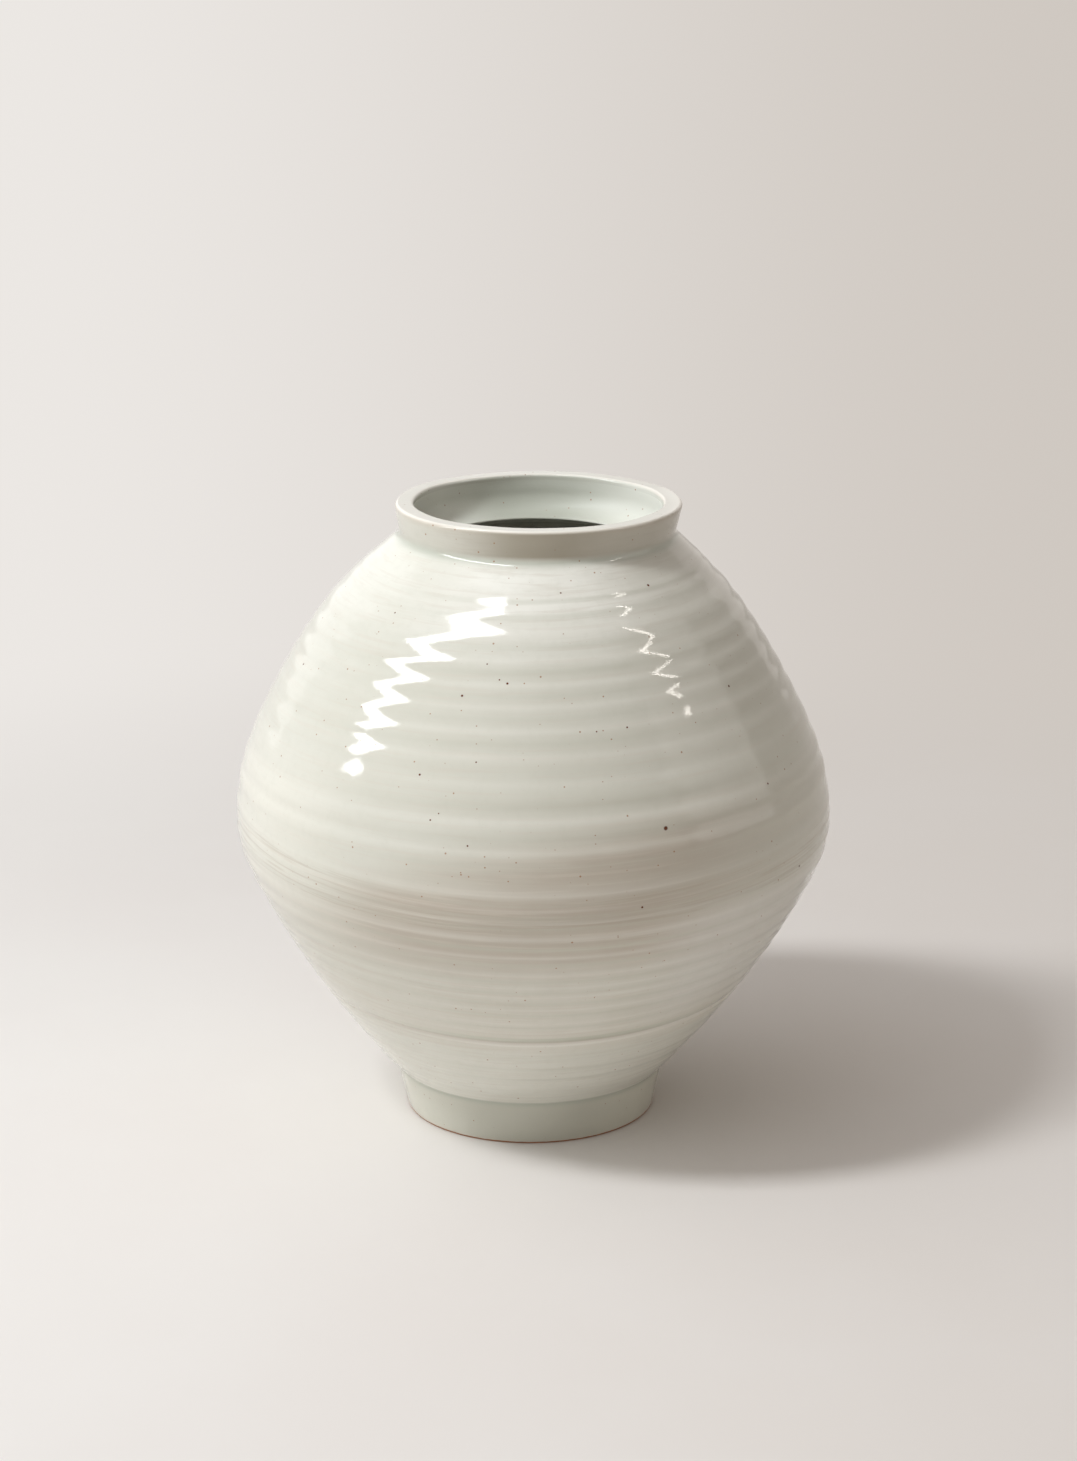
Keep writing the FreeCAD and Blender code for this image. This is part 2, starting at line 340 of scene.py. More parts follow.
marks["foot_top"] = add_rows("foot", rounded(FOOT, step=2.2))
wall_heights = np.concatenate([np.arange(*run) for run in WALL_RUNS])
add_rows("wall", [(OUTSIDE(height), height) for height in wall_heights])
add_rows("collar", rounded(COLLAR, step=1.4))
marks["coil_top"] = add_rows("inside", curved(UPPER_INSIDE, step=3.5))
marks["coil_bottom"] = add_rows("coil", COIL) + 1
add_rows("inside", curved(LOWER_INSIDE, step=3.5))
marks["floor"] = add_rows("inside", [(0, FLOOR_INSIDE)])

# Where the pieces end on the skin: (kind, radius, height)
HALF_SLIP = 0.6
LOWER_RIM = SEAM - HALF_SLIP
UPPER_RIM = SEAM + HALF_SLIP
MARKED_PLACES = {
    "well_edge": ("foot", 73.5, FOOT_TOP),
    "bore_top": ("foot", FOOT_BORE, 31.4),
    "foot_shoulder": ("foot", 96.6, 31.2),
    "seam_low": ("wall", OUTSIDE(LOWER_RIM), LOWER_RIM),
    "seam_high": ("wall", OUTSIDE(UPPER_RIM), UPPER_RIM),
    "bead_low": ("wall", 102.5, 423.5),
    "bead_high": ("collar", 97.9, 430.0),
    "bore_low": ("collar", NECK_BORE, 432.5),
    "bore_slip": ("collar", 87.2, 430.0),
}
for label, marked_place in MARKED_PLACES.items():
    marks[label] = nearest_row(*marked_place)


# Points of the skin
LEDGE_UNDERSIDE = 410
FLOOR_CURVE_TOP = 60
FLOOR_SPIRAL_DEPTH = 0.8
FLOOR_SPIRAL_PITCH = 15


def place_row(kind, radius, height):
    """The row as points round the jar."""
    r = np.full(AROUND, radius)
    z = np.full(AROUND, height)
    if kind == "wall":
        r, z = outside_wall(ANGLE, z)
    elif kind == "inside":
        # The finger rings fade away under the ledge and at the middle of the floor
        fade = smooth_step(0, 60, radius) * smooth_step(0, 10, LEDGE_UNDERSIDE - height)
        r = r + fade * inside_relief(ANGLE, z)
        if height < FLOOR_CURVE_TOP:
            spiral = np.cos(2 * math.pi * radius / FLOOR_SPIRAL_PITCH + ANGLE)
            z = z + FLOOR_SPIRAL_DEPTH * spiral * within(radius, (4, 25), (60, 100))
    elif kind == "coil":
        dents = waves(ANGLE, z, depth=0.8, seed=41, count=8, cycles=(28, 64), pitch=(40, 90))
        r = r + dents * math.sin(math.pi * (height - COIL_BOTTOM) / (COIL_TOP - COIL_BOTTOM))
    elif kind == "collar" and height > WALL_TOP:
        uneven = waves(ANGLE, z, depth=0.1, seed=42, count=8, cycles=(1, 6), pitch=(9, 30))
        r = r + uneven * smooth_step(433, 441, z)
    return bend_all(ANGLE, r, z, np.full(AROUND, height))


def skin_normals(points):
    """Outward normals of the whole skin, from its neighbours along it and round it."""
    up = np.empty_like(points)
    up[1:-1] = points[2:] - points[:-2]
    up[0] = points[1] - points[0]
    up[-1] = points[-1] - points[-2]
    round_it = np.roll(points, -1, axis=1) - np.roll(points, 1, axis=1)
    normal = np.cross(round_it, up)
    normal[0] = (0, 0, -1)
    normal[-1] = (0, 0, 1)
    return unit(normal)


# Shares that the glaze and its painted ring shading go by, one value a row. The places are (radius,
# height, reach).
THIN_EDGES = [(101.2, 449.6, 3.0), (88, 449.6, 2.6), (68.5, 421.5, 1.6), (75.3, 0, 3), (90, 0.4, 1.2)]
POOLED_CORNERS = [(97.6, 427.6, 4.0), (97.2, FOOT_TOP, 2.2), (86, 426, 9), (76, 423, 9),
                  (75, FOOT_TOP, 3), (203, COIL_TOP, 6), (203, COIL_BOTTOM, 6)]
FLAT_TONE = 0.5
TONE_PER_SLOPE = 3.2
SHARE_NAMES = ("thin_edge", "pooled", "ring_tone", "level")


def near(radius, height, places):
    """1 on the nearest of the places, falling away within its reach."""
    return max(math.exp(-((radius - r) ** 2 + (height - h) ** 2) / reach**2) for r, h, reach in places)


def row_shares(kind, radius, height):
    """Thin edge, pooled glaze, painted shading of the ring's flank from 0, which faces down and gets
    painted shade, to 1, which faces up and gets painted light, and height at the front in metres."""
    ring = FLAT_TONE
    if kind == "wall":
        slope = np.interp(height, FLANK_HEIGHT, FLANK_SLOPE)
        ring = float(np.clip(FLAT_TONE - TONE_PER_SLOPE * slope, 0, 1))
    return near(radius, height, THIN_EDGES), near(radius, height, POOLED_CORNERS), ring, height * MM


skin = np.stack([place_row(*row) for row in rows])
skin_normal = skin_normals(skin)
skin_shares = [row_shares(*row) for row in rows]


# Pieces
NEAR_SEAM = 40


def hidden_row(radius, height):
    """A row inside the clay, where two pieces meet out of sight. Near the seam it leans with it."""
    base = np.full(AROUND, float(height))
    z = base
    if abs(height - SEAM) < NEAR_SEAM:
        z = base + lean(ANGLE, base)
    return bend_all(ANGLE, np.full(AROUND, float(radius)), z, base)


def gather(loop):
    """Rings, normals and shares along a closed section. Each item of the loop is a pair of skin rows,
    from and to, or a list of hidden rows, which have no normals of their own."""
    rings = []
    normals = []
    shares = []
    for item in loop:
        if isinstance(item, tuple):
            span = slice(item[0], item[1] + 1)
            rings += list(skin[span])
            normals += list(skin_normal[span])
            shares += skin_shares[span]
        else:
            rings += [hidden_row(radius, height) for radius, height in item]
            normals += [None] * len(item)
            shares += [(0.0, 0.0, FLAT_TONE, height * MM) for _, height in item]
    return rings, normals, shares


def band(verts, first, rings, normals, k, n):
    """The faces from ring k to ring n, as numbers of vertices, and the normals at their corners."""
    here = np.arange(AROUND)
    after = (here + 1) % AROUND
    spots = [(k, here), (k, after), (n, after), (n, here)]
    if len(rings[k]) == 1:
        del spots[1]
    elif len(rings[n]) == 1:
        del spots[3]
    numbers = [first[ring] + (spot if len(rings[ring]) > 1 else 0 * spot) for ring, spot in spots]
    faces = np.stack(numbers, 1)
    if normals[k] is None or normals[n] is None:
        across = verts[faces[:, 1]] - verts[faces[:, 0]]
        up = verts[faces[:, -1]] - verts[faces[:, 0]]
        corners = np.repeat(unit(np.cross(across, up))[:, None], len(spots), 1)
    else:
        corners = np.stack([normals[ring][spot] for ring, spot in spots], 1)
    return faces, corners


def make_piece(name, loop, has_poles):
    """A closed mesh from a loop of rings. With poles, its first and last rings are single points on
    the axis, and otherwise its last ring joins its first."""
    rings, normals, shares = gather(loop)
    if has_poles:
        rings[0] = rings[0].mean(0, keepdims=True)
        rings[-1] = rings[-1].mean(0, keepdims=True)
    first = np.cumsum([0] + [len(ring) for ring in rings])
    verts = np.concatenate(rings) * MM
    faces = []
    corners = []
    for k in range(len(rings) - 1 if has_poles else len(rings)):
        band_faces, band_corners = band(verts, first, rings, normals, k, (k + 1) % len(rings))
        faces += band_faces.tolist()
        corners.append(band_corners.reshape(-1, 3))
    mesh = bpy.data.meshes.new(name)
    mesh.from_pydata(verts.tolist(), [], faces)
    mesh.normals_split_custom_set(np.concatenate(corners).tolist())
    for column, label in enumerate(SHARE_NAMES):
        values = np.concatenate([np.full(len(ring), share[column]) for ring, share in zip(rings, shares)])
        mesh.attributes.new(label, "FLOAT", "POINT").data.foreach_set("value", values.astype(np.float32))
    piece = bpy.data.objects.new(name, mesh)
    bpy.context.scene.collection.objects.link(piece)
    return piece


TONGUE_RADIUS = 208.3
TONGUE_HALF_WIDTH = 2.0
TONGUE_HEIGHT = 3.0
SEAM_INSIDE = 204.2
# Hidden rows where the neck slip lies on the shoulder, and where the collar stands on the slip
NECK_SEAT = [(98, 423.6), (90, 423.6)]
COLLAR_SEAT = [(95, 427), (90, 426.5)]


def tongue(height):
    """Hidden rows over the tongue round the lower rim, from the outside in."""
    return [(TONGUE_RADIUS + TONGUE_HALF_WIDTH, height), (TONGUE_RADIUS, height + TONGUE_HEIGHT),
            (TONGUE_RADIUS - TONGUE_HALF_WIDTH, height)]


def skin_run(start, end, after_start=0, after_end=0):
    """The skin from one mark to another, or so many rows after them."""
    return marks[start] + after_start, marks[end] + after_end


PIECES = {
    "foot_ring": [skin_run("bore_top", "foot_shoulder")],
    "foot_slip": [skin_run("well_edge", "bore_top"), skin_run("foot_shoulder", "foot_top", after_end=1)],
    "lower_bowl": [(0, marks["well_edge"]), skin_run("foot_top", "seam_low", after_start=1),
                   tongue(LOWER_RIM), skin_run("coil_bottom", "floor")],
    "waist_slip": [skin_run("seam_low", "seam_high"), tongue(UPPER_RIM),
                   [(SEAM_INSIDE, UPPER_RIM), (SEAM_INSIDE, LOWER_RIM)], tongue(LOWER_RIM)[::-1]],
    "upper_bowl": [skin_run("seam_high", "bead_low"), NECK_SEAT, skin_run("bore_slip", "coil_top"),
                   [(SEAM_INSIDE, UPPER_RIM)], tongue(UPPER_RIM)[::-1]],
    "waist_coil": [skin_run("coil_top", "coil_bottom")],
    "neck_slip": [skin_run("bead_low", "bead_high"), COLLAR_SEAT, skin_run("bore_low", "bore_slip"),
                  NECK_SEAT[::-1]],
    "neck_collar": [skin_run("bead_high", "bore_low"), COLLAR_SEAT[::-1]],
}
made = []
for node, loop in PIECES.items():
    piece = make_piece("jar_" + node, loop, has_poles=node == "lower_bowl")
    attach(piece, "root")
    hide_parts(node)
    made.append(piece)


# Materials
class Nodes:
    """Short ways to add the nodes of one tree. An input may be a plain value or another node's output."""

    def __init__(self, tree):
        self.tree = tree

    def put(self, socket, value):
        if isinstance(value, bpy.types.NodeSocket):
            self.tree.links.new(value, socket)
        elif value is not None:
            socket.default_value = value

    def node(self, kind, inputs=None, **settings):
        node = self.tree.nodes.new(kind)
        for name, setting in settings.items():
            setattr(node, name, setting)
        for name, value in (inputs or {}).items():
            self.put(node.inputs[name], value)
        return node

    def add(self, kind, inputs=None, out=0, **settings):
        """One output of a new node."""
        return self.node(kind, inputs, **settings).outputs[out]

    def split(self, vector):
        return tuple(self.node("ShaderNodeSeparateXYZ", {0: vector}).outputs)

    def math(self, operation, a, b=None):
        return self.add("ShaderNodeMath", {0: a, 1: b}, operation=operation)

    def plus(self, a, b):
        return self.math("ADD", a, b)

    def minus(self, a, b):
        return self.math("SUBTRACT", a, b)

    def times(self, product, *factors):
        for factor in factors:
            product = self.math("MULTIPLY", product, factor)
        return product

    def vector(self, operation, a, b=None, out=0):
        return self.add("ShaderNodeVectorMath", {0: a, 1: b}, out=out, operation=operation)

    def scaled(self, vector, factor):
        return self.add("ShaderNodeVectorMath", {0: vector, "Scale": factor}, operation="SCALE")

    def step(self, value, start, end, low=0.0, high=1.0):
        """Goes smoothly from low to high while the value goes from start to end."""
        return self.add("ShaderNodeMapRange", {0: value, 1: start, 2: end, 3: low, 4: high},
                        interpolation_type="SMOOTHSTEP")

    def rise(self, length, span, low=0.0, high=1.0):
        """The same over a span in millimetres."""
        return self.step(length, span[0] * MM, span[1] * MM, low, high)

    def fall(self, length, span):
        return self.rise(length, span, 1.0, 0.0)

    def within(self, length, rise, fall):
        return self.times(self.rise(length, rise), self.fall(length, fall))

    def mix(self, share, a, b):
        return self.add("ShaderNodeMix", {0: share, 6: a, 7: b}, out=2, data_type="RGBA")

    def noise(self, vector, scale, detail=2.0, rough=0.5):
        inputs = {"Vector": vector, "Scale": scale, "Detail": detail, "Roughness": rough}
        return self.add("ShaderNodeTexNoise", inputs)


def colour(red, green, blue):
    """A colour from its 8-bit screen values."""
    def linear(value):
        value /= 255
        return value / 12.92 if value <= 0.04045 else ((value + 0.055) / 1.055) ** 2.4

    return linear(red), linear(green), linear(blue), 1.0


GLAZE_DULL = colour(214, 213, 201)
GLAZE_CLEAR = colour(217, 216, 205)
# Painted light on the upper shoulder
TOP_PAINTED_LIGHT = colour(242, 241, 233)
GLAZE_WAIST = colour(194, 184, 170)
GLAZE_LOWER = colour(224, 221, 210)
GLAZE_STREAK = colour(210, 207, 194)
GLAZE_FINE_STREAK = colour(213, 206, 193)
GLAZE_ABOVE_FOOT = colour(232, 238, 230)
# Painted shade on the middle of the foot, lighter towards its sides
FOOT_PAINTED_SHADE = colour(199, 198, 185)
FOOT_SIDES = colour(217, 216, 203)
# Painted shade on the right of the shoulder
SHOULDER_PAINTED_SHADE = colour(198, 195, 183)
# Painted light on the left of the belly
BELLY_PAINTED_LIGHT = colour(236, 233, 222)
# Painted light on the right of the lower bowl
FLANK_PAINTED_LIGHT = colour(230, 229, 225)
# Painted light and painted shade on the rings' flanks
RING_PAINTED_LIGHT = colour(240, 238, 230)
RING_PAINTED_SHADE = colour(203, 204, 190)
SCRAPE = colour(186, 172, 154)
INCISED_LINE = colour(160, 146, 128)
MOTTLE = colour(200, 200, 186)
THIN_GLAZE = colour(222, 203, 186)
POOLED_GLAZE = colour(180, 185, 171)
# Painted shade on the outside of the collar
COLLAR_PAINTED_SHADE = colour(173, 166, 150)
# Painted shade in the middle of the neck's inside, painted light at its sides
NECK_PAINTED_SHADE = colour(187, 190, 178)
NECK_SIDES_PAINTED_LIGHT = colour(232, 233, 224)
# Painted light on the lip's flat top
LIP_PAINTED_LIGHT = colour(243, 241, 233)
FINE_SPECK = colour(158, 110, 68)
IRON_SPECK = colour(100, 46, 16)
CLAY_DARK = colour(186, 158, 132)
CLAY_PALE = colour(221, 203, 182)
CLAY_RUST = colour(146, 92, 54)

# Iron specks that show singly: angle round the jar, height and width.
IRON_SPECKS = [
    (25.5, 267, 3.6), (-6, 359.5, 2.0), (-16.5, 351, 2.0), (-23, 301.5, 1.9), (-19.5, 274.5, 1.5),
    (-18, 279, 1.2), (20, 216, 1.9), (-44.5, 392.5, 1.5), (41, 410, 2.4), (-70.5, 345.5, 2.0),
    (52, 343, 2.0), (52.5, 279, 1.8), (60, 214, 2.0), (-11.5, 370.5, 1.3), (-8, 361.5, 1.3),
    (21, 331, 1.6), (14, 330, 1.3), (-11.5, 312, 1.4), (8.5, 411, 1.5), (-12, 260, 1.5),
    (118, 330, 2.4), (163, 251, 2.0), (-142, 366, 1.8), (-109, 288, 2.2),
]


def places_on_jar(g):
    """What the glaze's layers go by: places in metres, sides from -1 at the left to 1 at the right and
    from -1 at the front to 1 at the back, and the shares that the meshes carry."""
    place = g.add("ShaderNodeTexCoord", out="Object")
    x, y, z = g.split(place)
    from_axis = g.add("ShaderNodeCombineXYZ", {0: x, 1: y, 2: 0.0})
    around = g.vector("NORMALIZE", from_axis)
    side_x, side_y, _ = g.split(around)
    neck_shift = (3.3 * MM, 0.0, 0.0)
    neck_radius = g.vector("LENGTH", g.vector("SUBTRACT", from_axis, neck_shift), out="Value")
    shares = {name: g.add("ShaderNodeAttribute", out="Fac", attribute_name=name) for name in SHARE_NAMES}
    return SimpleNamespace(place=place, x=x, y=y, z=z, around=around, side_x=side_x, side_y=side_y,
                           sideways=g.math("ABSOLUTE", side_x), neck_radius=neck_radius, **shares)


def banded(g, at, wide, tall, scale=1.0, detail=3.0, rough=0.6):
    """Noise drawn out round the jar: wide and tall are its stretch round and up the jar."""
    up_part = g.add("ShaderNodeCombineXYZ", {0: 0.0, 1: 0.0, 2: g.times(at.level, tall)})
    return g.noise(g.vector("ADD", g.scaled(at.around, wide), up_part), scale, detail, rough)


def waist_share(g, at, streaks):
    """The wiped band at the waist, where the glaze is thin and warm. Its borders are ragged, and the
    upper one is higher at the right and lower at the back. It fades towards the left and right sides as
    painted light."""
    border = g.plus(at.z, g.times(g.minus(streaks, 0.5), 30 * MM))
    upper = g.plus(border, g.times(g.plus(at.side_y, 1.0), 20 * MM))
    upper = g.minus(upper, g.times(at.side_x, 42 * MM))
    share = g.times(g.rise(border, (150, 186)), g.fall(upper, (234, 274)))
    # Painted light: the band is weaker towards the left and right sides
    return g.times(share, g.step(at.sideways, 0.35, 0.90, 1.0, 0.2))


def bowl_tones(g, at, clouds, streaks, waist, lower):
    """The glaze's broad tones on the bowls and the foot. The upper shoulder, the left of the belly and
    the right of the lower bowl have painted light; the right of the shoulder and the middle of the foot
    have painted shade.
    """
    body = g.mix(g.step(clouds, 0.35, 0.65), GLAZE_DULL, GLAZE_CLEAR)
    # Painted light on the upper shoulder, weaker at the left
    top = g.times(g.rise(at.z, (360, 410)), g.step(at.side_x, -0.75, -0.30, 0.35, 1.0))
    body = g.mix(top, body, TOP_PAINTED_LIGHT)
    body = g.mix(g.times(waist, 0.95), body, GLAZE_WAIST)
    body = g.mix(lower, body, GLAZE_LOWER)
    body = g.mix(g.times(g.step(streaks, 0.40, 0.62), 0.25), body, GLAZE_STREAK)
    fine_streaks = g.step(banded(g, at, wide=2.2, tall=420.0), 0.50, 0.64)
    body = g.mix(g.times(fine_streaks, g.rise(at.level, (190, 250), 0.5, 0.30)), body, GLAZE_FINE_STREAK)
    body = g.mix(g.rise(at.level, (86, 97), 0.25, 0.0), body, GLAZE_ABOVE_FOOT)
    # Painted shade on the middle of the foot, lighter towards its sides
    foot = g.mix(g.step(at.sideways, 0.30, 0.85), FOOT_PAINTED_SHADE, FOOT_SIDES)
    body = g.mix(g.fall(at.level, (32.5, 34)), body, foot)
    # Painted shade on the right of the shoulder
    shoulder = g.times(g.step(at.side_x, 0.25, 0.75, 0.0, 0.55), g.rise(at.z, (280, 360)))
    body = g.mix(shoulder, body, SHOULDER_PAINTED_SHADE)
    # Painted light on the left of the belly
    left_belly = g.within(at.z, (165, 195), (265, 310))
    body = g.mix(g.times(left_belly, g.step(at.side_x, -0.90, -0.50, 0.55, 0.0)), body, BELLY_PAINTED_LIGHT)
    # Painted light on the right of the lower bowl
    right_flank = g.within(at.z, (100, 135), (190, 220))
    return g.mix(g.times(right_flank, g.step(at.side_x, 0.30, 0.65, 0.0, 0.50)), body, FLANK_PAINTED_LIGHT)


def throwing_tones(g, at, body):
    """Painted light on the rings' flanks that face up and painted shade on those that face down, most on
    the lower bowl and least at the left. The waist has scrapes, and the incised line is darker on the
    front."""
    strength = g.step(at.side_x, -0.80, -0.15, 0.2, 1.0)
    strength = g.times(strength, g.step(at.side_x, 0.3, 0.8, 1.0, 0.6))
    lower_bowl = g.times(g.rise(at.level, (34, 60), 1.0, 2.3), g.rise(at.level, (232, 262), 1.0, 0.43))
    strength = g.times(strength, lower_bowl)
    # Painted light on flanks facing up, painted shade on flanks facing down
    body = g.mix(g.times(g.step(at.ring_tone, 0.5, 1.0, 0.0, 0.30), strength), body, RING_PAINTED_LIGHT)
    body = g.mix(g.times(g.step(at.ring_tone, 0.0, 0.5, 0.40, 0.0), strength), body, RING_PAINTED_SHADE)
    scraped = g.step(banded(g, at, wide=2.6, tall=560.0), 0.50, 0.66, 0.0, 0.34)
    body = g.mix(g.times(g.within(at.level, (196, 202), (224, 229)), scraped), body, SCRAPE)
    line = g.times(g.rise(at.level, (97.5, 100), 0.0, 0.36), g.fall(at.level, (101.2, 103.5)))
    front = g.rise(g.plus(at.y, g.times(at.x, 0.25)), (-135, -85), 0.75, 0.0)
    return g.mix(g.times(line, front), body, INCISED_LINE)


def edge_tones(g, at, body):
    """Mottled glaze all over, thin on the edges and pooled in the corners."""
    mottle = g.step(g.noise(at.place, scale=160.0, detail=3.0, rough=0.6), 0.45, 0.75)
    body = g.mix(g.times(mottle, 0.12), body, MOTTLE)
    body = g.mix(g.times(at.thin_edge, 0.45), body, THIN_GLAZE)
    return g.mix(g.times(at.pooled, 0.7), body, POOLED_GLAZE)


def neck_tones(g, at, body, neck):
    """Painted shade on the outside of the collar, less at its sides, and painted light on its flat top.
    Inside the neck there is painted shade in the middle and painted light at the sides."""
    # Painted shade on the outside of the collar, less at its sides
    collar = g.times(g.rise(at.z, (427, 432)), g.rise(at.neck_radius, (94, 96)))
    collar = g.times(collar, g.fall(at.z, (447.5, 449.5)))
    collar = g.times(collar, g.step(at.side_x, -0.75, -0.05, 0.25, 1.0))
    collar = g.times(collar, g.step(at.side_x, 0.15, 0.75, 1.0, 0.55))
    body = g.mix(collar, body, COLLAR_PAINTED_SHADE)
    # Painted shade inside the neck in the middle, painted light at its sides
    inside = g.mix(g.step(at.sideways, 0.2, 0.9), NECK_PAINTED_SHADE, NECK_SIDES_PAINTED_LIGHT)
    body = g.mix(g.times(neck, 0.8), body, inside)
    # Painted light on the lip's flat top
    return g.mix(g.rise(at.z, (448.2, 449.6), 0.0, 0.7), body, LIP_PAINTED_LIGHT)


def point_on_wall(angle, height):
    """The point of the outside wall at that angle and height, in metres."""
    row = height - lean(angle, np.array(height))
    for _ in range(3):
        row = height - lean(angle, row)
    angles = np.array([angle])
    rows_at = np.array([row])
    radius, level = outside_wall(angles, rows_at)
    return tuple(bend_all(angles, radius, level, rows_at)[0] * MM)


def add_specks(g, at, body):
    """Fine specks all over, in some of the cells of a Voronoi pattern, then the single ones."""
    cells = g.node("ShaderNodeTexVoronoi", {"Vector": at.place, "Scale": 190.0})
    chance = g.add("ShaderNodeSeparateColor", {0: cells.outputs["Color"]})
    reach = g.times(g.math("POWER", chance, 3.0), 0.13)
    fine = g.step(g.minus(cells.outputs["Distance"], reach), -0.02, 0.03, 1.0, 0.0)
    fine = g.times(fine, g.step(chance, 0.45, 0.55))
    body = g.mix(g.times(fine, 0.75), body, FINE_SPECK)
    specks = 0.0
    for angle, height, width in IRON_SPECKS:
        middle = point_on_wall(math.radians(angle), height)
        away = g.vector("DISTANCE", at.place, middle, out="Value")
        specks = g.math("MAXIMUM", specks, g.fall(away, (0.28 * width, 0.52 * width)))
    return g.mix(specks, body, IRON_SPECK)


def glaze_material(name):
    material = bpy.data.materials.new(name)
    material.use_nodes = True
    g = Nodes(material.node_tree)
    shader = material.node_tree.nodes["Principled BSDF"]
    at = places_on_jar(g)
    streaks = banded(g, at, wide=0.9, tall=60.0, scale=1.6, detail=4.0)
    clouds = g.noise(at.place, scale=9.0, detail=3.0)
    waist = waist_share(g, at, streaks)
    lower = g.fall(at.z, (60, 200))
    neck = g.times(g.rise(at.z, (415, 420)), g.fall(at.neck_radius, (88, 89)))

    body = bowl_tones(g, at, clouds, streaks, waist, lower)
    body = throwing_tones(g, at, body)
    body = edge_tones(g, at, body)
    body = neck_tones(g, at, body, neck)
    body = add_specks(g, at, body)

    # Bare clay where the foot rests, with an iron-brown line where the glaze stops
    wander = g.noise(at.place, scale=130.0)
    ragged = g.plus(at.z, g.times(g.minus(wander, 0.5), 0.8 * MM))
    grit = g.noise(at.place, scale=700.0, detail=4.0, rough=0.7)
    clay = g.mix(g.rise(ragged, (0.1, 0.7)), g.mix(grit, CLAY_DARK, CLAY_PALE), CLAY_RUST)
    bare = g.fall(ragged, (1.1, 1.6))
    g.put(shader.inputs["Base Color"], g.mix(bare, body, clay))

    # Glossy, a little less so at the waist and low down, and dull inside the neck and on the clay
    rough = g.plus(g.step(clouds, 0.3, 0.7, 0.022, 0.04), g.times(waist, 0.05))
    rough = g.plus(rough, g.times(lower, 0.06))
    rough = g.plus(rough, g.times(neck, g.rise(at.z, (443, 449), 0.4, 0.0)))
    g.put(shader.inputs["Roughness"], g.math("MAXIMUM", rough, g.times(bare, 0.8)))
    shader.inputs["IOR"].default_value = 1.5

    # The fine ripple of the glaze, and the grit of the clay
    ripple = g.noise(at.place, scale=330.0, detail=3.0, rough=0.65)
    relief = g.plus(ripple, g.times(grit, bare, 0.8))
    bump = g.add("ShaderNodeBump", {"Strength": 1.0, "Distance": 0.05 * MM, "Height": relief})
    g.put(shader.inputs["Normal"], bump)
    return material


glaze = glaze_material("white_glaze")
for piece in made:
    piece.data.materials.append(glaze)


# Floor and background
BACKGROUND_LEFT = colour(236, 232, 228)
BACKGROUND_RIGHT = colour(207, 200, 193)
# Painted light: the paper is lighter on the left than on the right
PAPER_LEFT = colour(240, 236, 233), colour(242, 239, 236)
PAPER_RIGHT = colour(232, 226, 221), colour(234, 229, 225)
# In metres
FLOOR_REACH = 60.0
SKY_REACH = 1000.0
EYE_DISTANCE = 2.4


def background_tone(g, x, y):
    """The background's tone at a place on the floor plane, with painted light that makes it lighter
    towards -X by about the angle seen from in front of the jar, and the distance of the place from the
    jar."""
    far_out = g.math("SQRT", g.plus(g.times(x, x), g.times(y, y)))
    side = g.math("DIVIDE", x, g.plus(far_out, EYE_DISTANCE))
    # Painted light: lighter towards -X, darker towards +X
    return g.mix(g.step(side, -0.17, 0.17), BACKGROUND_LEFT, BACKGROUND_RIGHT), far_out


def seen_share(g):
    """1 for what the camera sees, plain, mirrored or through something, and 0 for light on things."""
    path = g.node("ShaderNodeLightPath").outputs
    seen = g.math("MAXIMUM", path["Is Camera Ray"], path["Is Glossy Ray"])
    return g.math("MAXIMUM", seen, path["Is Transmission Ray"])


def paper_material():
    """Pale paper near the jar, which turns into the background's plain tone farther out."""
    material = bpy.data.materials.new("paper")
    material.use_nodes = True
    g = Nodes(material.node_tree)
    shader = material.node_tree.nodes["Principled BSDF"]
    place = g.add("ShaderNodeTexCoord", out="Object")
    x, y, _ = g.split(place)
    tone, far_out = background_tone(g, x, y)
    mottle = g.step(g.noise(place, scale=3.0, detail=4.0), 0.3, 0.7)
    # Painted light: the paper is lighter towards -X and darker towards +X
    paper = g.mix(g.step(x, -0.55, 0.35), g.mix(mottle, *PAPER_LEFT), g.mix(mottle, *PAPER_RIGHT))
    g.put(shader.inputs["Base Color"], paper)
    shader.inputs["Roughness"].default_value = 0.85
    shader.inputs["Specular IOR Level"].default_value = 0.2
    glow = g.add("ShaderNodeEmission", {0: tone, 1: 1.0})
    share = g.times(g.step(far_out, 0.5, 1.35), seen_share(g))
    both = g.add("ShaderNodeMixShader", {0: share, 1: shader.outputs[0], 2: glow})
    g.put(material.node_tree.nodes["Material Output"].inputs["Surface"], both)
    return material


def add_floor():
    corners = [(FLOOR_REACH * x, FLOOR_REACH * y, 0) for x, y in ((-1, -1), (1, -1), (1, 1), (-1, 1))]
    mesh = bpy.data.meshes.new("floor")
    mesh.from_pydata(corners, [], [(0, 1, 2, 3)])
    mesh.materials.append(paper_material())
    floor = bpy.data.objects.new("floor", mesh)
    bpy.context.scene.collection.objects.link(floor)


add_floor()


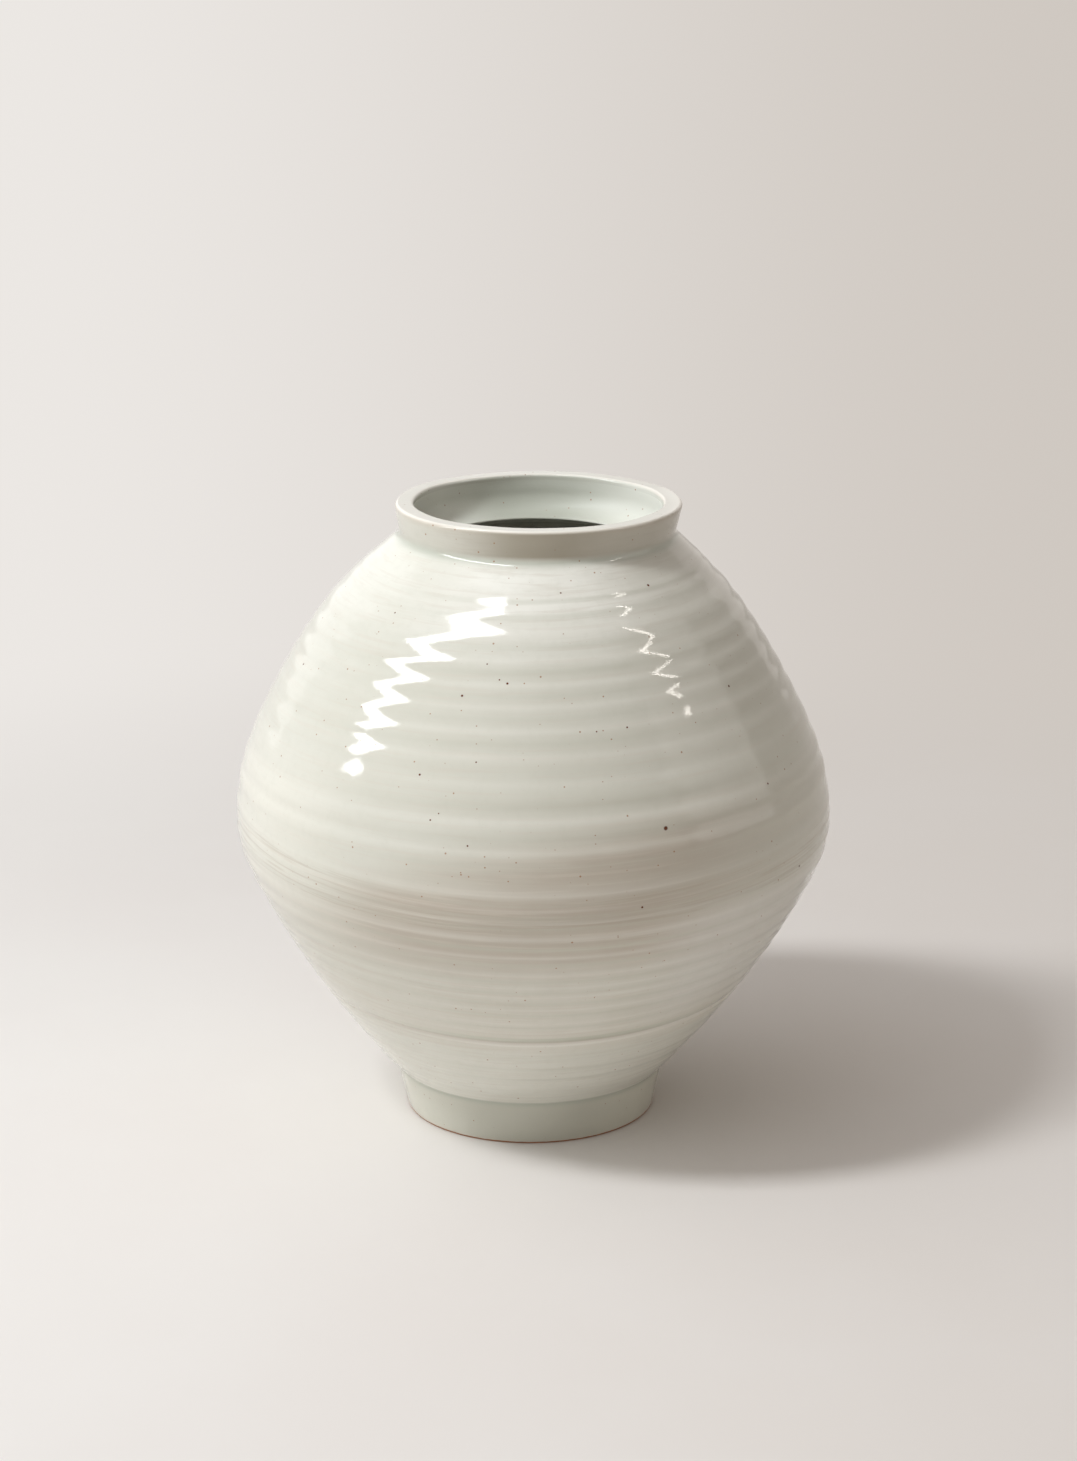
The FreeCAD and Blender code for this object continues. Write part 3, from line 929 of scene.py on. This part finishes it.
def studio_world():
    """The background where it is seen, and for light on things a soft fill from five sides."""
    world = bpy.data.worlds.new("studio")
    world.use_nodes = True
    g = Nodes(world.node_tree)
    x, y, z = g.split(g.add("ShaderNodeTexCoord", out="Generated"))
    tone, _ = background_tone(g, g.times(x, SKY_REACH), g.times(y, SKY_REACH))
    from_left = g.minus(g.times(x, -1.0), g.times(y, 0.05))
    from_front = g.times(y, -1.0)
    from_above = g.math("POWER", g.math("MAXIMUM", z, 0.0), 3.0)
    near_horizon = g.math("POWER", g.minus(1.0, g.math("ABSOLUTE", z)), 5.0)
    from_right = g.math("MAXIMUM", g.minus(g.times(x, 0.9), g.times(y, 0.4)), 0.0)
    sides = [
        (from_left, (0.980, 1.005, 1.026)),
        (from_front, (0.110, 0.102, 0.094)),
        (y, (0.145, 0.135, 0.124)),
        (from_above, (0.600, 0.556, 0.512)),
        (g.times(from_right, near_horizon), (1.050, 0.957, 0.865)),
    ]
    fill = (0.0, 0.0, 0.0)
    for amount, light in sides:
        fill = g.vector("ADD", fill, g.scaled(light, g.math("MAXIMUM", amount, 0.0)))
    g.put(world.node_tree.nodes["Background"].inputs["Color"], g.mix(seen_share(g), fill, tone))
    bpy.context.scene.world = world


studio_world()

# Lights, in metres, by their direction from the jar's upper part. The key lights the jar and the
# floor. The two strips and the three dim panels show only as reflections in the glaze.
LIGHT_TARGET = Vector((0, 0, 0.3))
UPRIGHT = (0, 0, 1)
KEY_LINE = (0.75, -0.09, 0.66)
KEY_TINT = (0.946, 0.976, 1.0)


def panel(name, towards, distance, size, along, radiance, tint, shines=False, mirrored=True):
    """A rectangular light in that direction, its long side along a line."""
    data = bpy.data.lights.new(name, "AREA")
    data.shape = "RECTANGLE"
    data.size, data.size_y = size
    data.color = tint
    data.energy = radiance * size[0] * size[1] * math.pi
    light = bpy.data.objects.new(name, data)
    z = Vector(towards).normalized()
    y = Vector(along)
    y = (y - z * y.dot(z)).normalized()
    x = y.cross(z)
    place = LIGHT_TARGET + z * distance
    light.matrix_world = Matrix([[x[k], y[k], z[k], place[k]] for k in range(3)] + [[0, 0, 0, 1]])
    light.visible_camera = False
    light.visible_diffuse = shines
    light.visible_glossy = mirrored
    bpy.context.scene.collection.objects.link(light)


panel("key_strip", towards=(-0.6295, -0.2113, 0.7432), distance=3.0, size=(0.47, 3.25), along=KEY_LINE,
      radiance=13.2, tint=KEY_TINT)
panel("key", towards=(-0.554, -0.278, 0.785), distance=3.0, size=(0.42, 0.7), along=KEY_LINE,
      radiance=54.0, tint=KEY_TINT, shines=True, mirrored=False)
panel("right_strip", towards=(0.709, -0.148, 0.689), distance=2.61, size=(0.078, 1.24),
      along=(-0.757, 0.129, 0.64), radiance=14.0, tint=(1.0, 0.94, 0.88))
panel("left_reflection", towards=(-0.498, 0.766, 0.407), distance=3.0, size=(2.5, 2.3), along=UPRIGHT,
      radiance=0.5, tint=(1.0, 1.0, 1.0))
panel("right_reflection", towards=(0.93, -0.13, 0.34), distance=2.6, size=(1.9, 1.9), along=UPRIGHT,
      radiance=0.6, tint=(1.0, 0.97, 0.94))
panel("edge_reflection", towards=(0.352, 0.871, 0.34), distance=2.6, size=(1.6, 1.9), along=UPRIGHT,
      radiance=0.3, tint=(1.0, 0.95, 0.92))

bpy.context.scene.view_settings.view_transform = "Standard"
